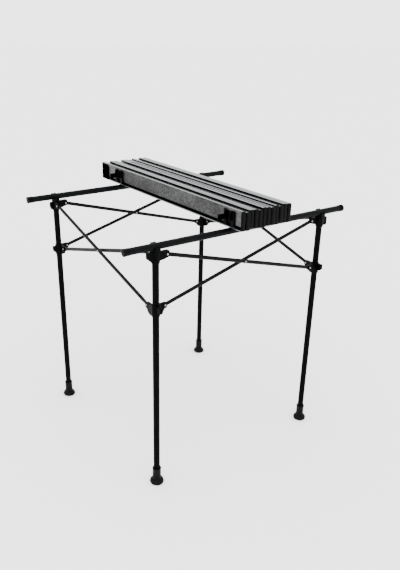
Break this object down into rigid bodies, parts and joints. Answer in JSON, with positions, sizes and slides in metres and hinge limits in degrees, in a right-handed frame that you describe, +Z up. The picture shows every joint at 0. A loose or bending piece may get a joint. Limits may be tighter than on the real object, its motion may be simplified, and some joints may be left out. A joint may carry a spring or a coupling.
{
  "type": "folding camp table",
  "caption": "Square camp table with a collapsible scissor frame, sliding corner joints, lift-out rails and a roll-up slat top stacked on edge.",
  "frame": {"origin": "centre of the overall plan outline, on the floor under the feet", "axes": "+X along the rails, +Y from the front rail to the back rail along the slats, +Z up"},
  "size_m": [0.712, 0.7, 0.7328],
  "materials": {
    "black_tube": "satin black coating",
    "rail_paint": "satin black coating, slightly cool",
    "bar_paint": "satin black coating",
    "moulding": "matte black moulding",
    "foot_rubber": "black rubber",
    "plug_plastic": "black moulding",
    "slat_metal": "mill grey with dull mottling",
    "cap_plastic": "black moulding",
    "clip_plastic": "black moulding"
  },
  "bodies": {
    "held_leg": {"leg_front_left": "black_tube", "foot_front_left": "foot_rubber", "hub_front_left": "moulding"},
    "leg_front_right": {"leg_front_right": "black_tube", "foot_front_right": "foot_rubber", "hub_front_right": "moulding"},
    "leg_back_left": {"leg_back_left": "black_tube", "foot_back_left": "foot_rubber", "hub_back_left": "moulding"},
    "leg_back_right": {"leg_back_right": "black_tube", "foot_back_right": "foot_rubber", "hub_back_right": "moulding"},
    "slider_front_left": {"slider_front_left": "moulding"},
    "slider_front_right": {"slider_front_right": "moulding"},
    "slider_back_left": {"slider_back_left": "moulding"},
    "slider_back_right": {"slider_back_right": "moulding"},
    "front_bar_outer": {"front_bar_outer": "bar_paint"},
    "front_bar_inner": {"front_bar_inner": "bar_paint"},
    "left_bar_outer": {"left_bar_outer": "bar_paint"},
    "left_bar_inner": {"left_bar_inner": "bar_paint"},
    "back_bar_outer": {"back_bar_outer": "bar_paint"},
    "back_bar_inner": {"back_bar_inner": "bar_paint"},
    "right_bar_outer": {"right_bar_outer": "bar_paint"},
    "right_bar_inner": {"right_bar_inner": "bar_paint"},
    "rail_front": {"rail_front": "rail_paint", "rail_front_plug_left": "plug_plastic", "rail_front_plug_right": "plug_plastic"},
    "rail_back": {"rail_back": "rail_paint", "rail_back_plug_left": "plug_plastic", "rail_back_plug_right": "plug_plastic"},
    "slat_01": {"slat_01": "slat_metal", "slat_01_cap": "cap_plastic", "clip_01_front": "clip_plastic", "clip_01_back": "clip_plastic"},
    "slat_02": {"slat_02": "slat_metal", "slat_02_cap": "cap_plastic"},
    "slat_03": {"slat_03": "slat_metal", "slat_03_cap": "cap_plastic"},
    "slat_04": {"slat_04": "slat_metal", "slat_04_cap": "cap_plastic"},
    "slat_05": {"slat_05": "slat_metal", "slat_05_cap": "cap_plastic"},
    "slat_06": {"slat_06": "slat_metal", "slat_06_cap": "cap_plastic"},
    "slat_07": {"slat_07": "slat_metal", "slat_07_cap": "cap_plastic"},
    "slat_08": {"slat_08": "slat_metal", "slat_08_cap": "cap_plastic"},
    "slat_09": {"slat_09": "slat_metal", "slat_09_cap": "cap_plastic"},
    "slat_10": {"slat_10": "slat_metal", "slat_10_cap": "cap_plastic"},
    "slat_11": {"slat_11": "slat_metal", "slat_11_cap": "cap_plastic"},
    "slat_12": {"slat_12": "slat_metal", "slat_12_cap": "cap_plastic", "clip_12_front": "clip_plastic", "clip_12_back": "clip_plastic"}
  },
  "joints": [
    {"name": "frame_fold", "type": "hinge", "parent": "held_leg", "child": "front_bar_outer", "pos_m": [-0.242, -0.3065, 0.652], "axis": [0, 1, 0], "range_deg": [0, 68]},
    {"name": "front_crossing", "type": "hinge", "parent": "front_bar_outer", "child": "front_bar_inner", "pos_m": [0, -0.3015, 0.5855], "axis": [0, 1, 0], "range_deg": [-136, 0]},
    {"name": "front_right_hub_pivot", "type": "hinge", "parent": "front_bar_inner", "child": "leg_front_right", "pos_m": [0.242, -0.2965, 0.652], "axis": [0, 1, 0], "range_deg": [0, 68]},
    {"name": "front_right_slider_pivot", "type": "hinge", "parent": "front_bar_outer", "child": "slider_front_right", "pos_m": [0.242, -0.3065, 0.519], "axis": [0, 1, 0], "range_deg": [-68, 0]},
    {"name": "front_left_slider_pivot", "type": "hinge", "parent": "front_bar_inner", "child": "slider_front_left", "pos_m": [-0.242, -0.2965, 0.519], "axis": [0, 1, 0], "range_deg": [0, 68]},
    {"name": "left_fold", "type": "hinge", "parent": "held_leg", "child": "left_bar_inner", "pos_m": [-0.265, -0.2735, 0.652], "axis": [-1, 0, 0], "range_deg": [0, 68]},
    {"name": "left_crossing", "type": "hinge", "parent": "left_bar_inner", "child": "left_bar_outer", "pos_m": [-0.27, -0.0315, 0.5855], "axis": [-1, 0, 0], "range_deg": [-136, 0]},
    {"name": "back_left_hub_pivot", "type": "hinge", "parent": "left_bar_outer", "child": "leg_back_left", "pos_m": [-0.275, 0.2105, 0.652], "axis": [-1, 0, 0], "range_deg": [0, 68]},
    {"name": "back_left_slider_pivot", "type": "hinge", "parent": "left_bar_inner", "child": "slider_back_left", "pos_m": [-0.265, 0.2105, 0.519], "axis": [-1, 0, 0], "range_deg": [-68, 0]},
    {"name": "back_fold", "type": "hinge", "parent": "leg_back_left", "child": "back_bar_inner", "pos_m": [-0.242, 0.2335, 0.652], "axis": [0, 1, 0], "range_deg": [0, 68]},
    {"name": "back_crossing", "type": "hinge", "parent": "back_bar_inner", "child": "back_bar_outer", "pos_m": [0, 0.2385, 0.5855], "axis": [0, 1, 0], "range_deg": [-136, 0]},
    {"name": "back_right_hub_pivot", "type": "hinge", "parent": "back_bar_outer", "child": "leg_back_right", "pos_m": [0.242, 0.2435, 0.652], "axis": [0, 1, 0], "range_deg": [0, 68]},
    {"name": "back_right_slider_pivot", "type": "hinge", "parent": "back_bar_inner", "child": "slider_back_right", "pos_m": [0.242, 0.2335, 0.519], "axis": [0, 1, 0], "range_deg": [-68, 0]},
    {"name": "right_fold", "type": "hinge", "parent": "leg_front_right", "child": "right_bar_outer", "pos_m": [0.275, -0.2735, 0.652], "axis": [-1, 0, 0], "range_deg": [0, 68]},
    {"name": "right_crossing", "type": "hinge", "parent": "right_bar_outer", "child": "right_bar_inner", "pos_m": [0.27, -0.0315, 0.5855], "axis": [-1, 0, 0], "range_deg": [-136, 0]},
    {"name": "top_lift", "type": "slide", "parent": "held_leg", "child": "rail_front", "axis": [0, 0, 1], "range_m": [0, 0.12]},
    {"name": "rail_back_lift", "type": "slide", "parent": "leg_back_left", "child": "rail_back", "axis": [0, 0, 1], "range_m": [0, 0.12]},
    {"name": "mat_unfold", "type": "hinge", "parent": "rail_front", "child": "slat_08", "pos_m": [0.0559, 0.0005, 0.6828], "axis": [0, 1, 0], "range_deg": [0, 90]},
    {"name": "slat_09_hinge", "type": "hinge", "parent": "slat_08", "child": "slat_09", "pos_m": [0.05625, 0.0005, 0.7358], "axis": [0, 1, 0], "range_deg": [-180, 0]},
    {"name": "slat_10_hinge", "type": "hinge", "parent": "slat_09", "child": "slat_10", "pos_m": [0.06995, 0.0005, 0.6798], "axis": [0, 1, 0], "range_deg": [0, 180]},
    {"name": "slat_11_hinge", "type": "hinge", "parent": "slat_10", "child": "slat_11", "pos_m": [0.08365, 0.0005, 0.7358], "axis": [0, 1, 0], "range_deg": [-180, 0]},
    {"name": "slat_12_hinge", "type": "hinge", "parent": "slat_11", "child": "slat_12", "pos_m": [0.09735, 0.0005, 0.6798], "axis": [0, 1, 0], "range_deg": [0, 180]},
    {"name": "slat_07_hinge", "type": "hinge", "parent": "slat_08", "child": "slat_07", "pos_m": [0.04255, 0.0005, 0.6798], "axis": [0, 1, 0], "range_deg": [-180, 0]},
    {"name": "slat_06_hinge", "type": "hinge", "parent": "slat_07", "child": "slat_06", "pos_m": [0.02885, 0.0005, 0.7358], "axis": [0, 1, 0], "range_deg": [0, 180]},
    {"name": "slat_05_hinge", "type": "hinge", "parent": "slat_06", "child": "slat_05", "pos_m": [0.01515, 0.0005, 0.6798], "axis": [0, 1, 0], "range_deg": [-180, 0]},
    {"name": "slat_04_hinge", "type": "hinge", "parent": "slat_05", "child": "slat_04", "pos_m": [0.00145, 0.0005, 0.7358], "axis": [0, 1, 0], "range_deg": [0, 180]},
    {"name": "slat_03_hinge", "type": "hinge", "parent": "slat_04", "child": "slat_03", "pos_m": [-0.01225, 0.0005, 0.6798], "axis": [0, 1, 0], "range_deg": [-180, 0]},
    {"name": "slat_02_hinge", "type": "hinge", "parent": "slat_03", "child": "slat_02", "pos_m": [-0.02595, 0.0005, 0.7358], "axis": [0, 1, 0], "range_deg": [0, 180]},
    {"name": "slat_01_hinge", "type": "hinge", "parent": "slat_02", "child": "slat_01", "pos_m": [-0.03965, 0.0005, 0.6798], "axis": [0, 1, 0], "range_deg": [-180, 0]}
  ],
  "couplings": [
    {"joint": "front_crossing", "follows": "frame_fold", "ratio": -2},
    {"joint": "front_right_hub_pivot", "follows": "frame_fold", "ratio": 1},
    {"joint": "front_right_slider_pivot", "follows": "frame_fold", "ratio": -1},
    {"joint": "front_left_slider_pivot", "follows": "frame_fold", "ratio": 1},
    {"joint": "left_fold", "follows": "frame_fold", "ratio": 1},
    {"joint": "left_crossing", "follows": "frame_fold", "ratio": -2},
    {"joint": "back_left_hub_pivot", "follows": "frame_fold", "ratio": 1},
    {"joint": "back_left_slider_pivot", "follows": "frame_fold", "ratio": -1},
    {"joint": "back_fold", "follows": "frame_fold", "ratio": 1},
    {"joint": "back_crossing", "follows": "frame_fold", "ratio": -2},
    {"joint": "back_right_hub_pivot", "follows": "frame_fold", "ratio": 1},
    {"joint": "back_right_slider_pivot", "follows": "frame_fold", "ratio": -1},
    {"joint": "right_fold", "follows": "frame_fold", "ratio": 1},
    {"joint": "right_crossing", "follows": "frame_fold", "ratio": -2},
    {"joint": "rail_back_lift", "follows": "top_lift", "ratio": 1},
    {"joint": "slat_09_hinge", "follows": "mat_unfold", "ratio": -2},
    {"joint": "slat_10_hinge", "follows": "mat_unfold", "ratio": 2},
    {"joint": "slat_11_hinge", "follows": "mat_unfold", "ratio": -2},
    {"joint": "slat_12_hinge", "follows": "mat_unfold", "ratio": 2},
    {"joint": "slat_07_hinge", "follows": "mat_unfold", "ratio": -2},
    {"joint": "slat_06_hinge", "follows": "mat_unfold", "ratio": 2},
    {"joint": "slat_05_hinge", "follows": "mat_unfold", "ratio": -2},
    {"joint": "slat_04_hinge", "follows": "mat_unfold", "ratio": 2},
    {"joint": "slat_03_hinge", "follows": "mat_unfold", "ratio": -2},
    {"joint": "slat_02_hinge", "follows": "mat_unfold", "ratio": 2},
    {"joint": "slat_01_hinge", "follows": "mat_unfold", "ratio": -2}
  ]
}
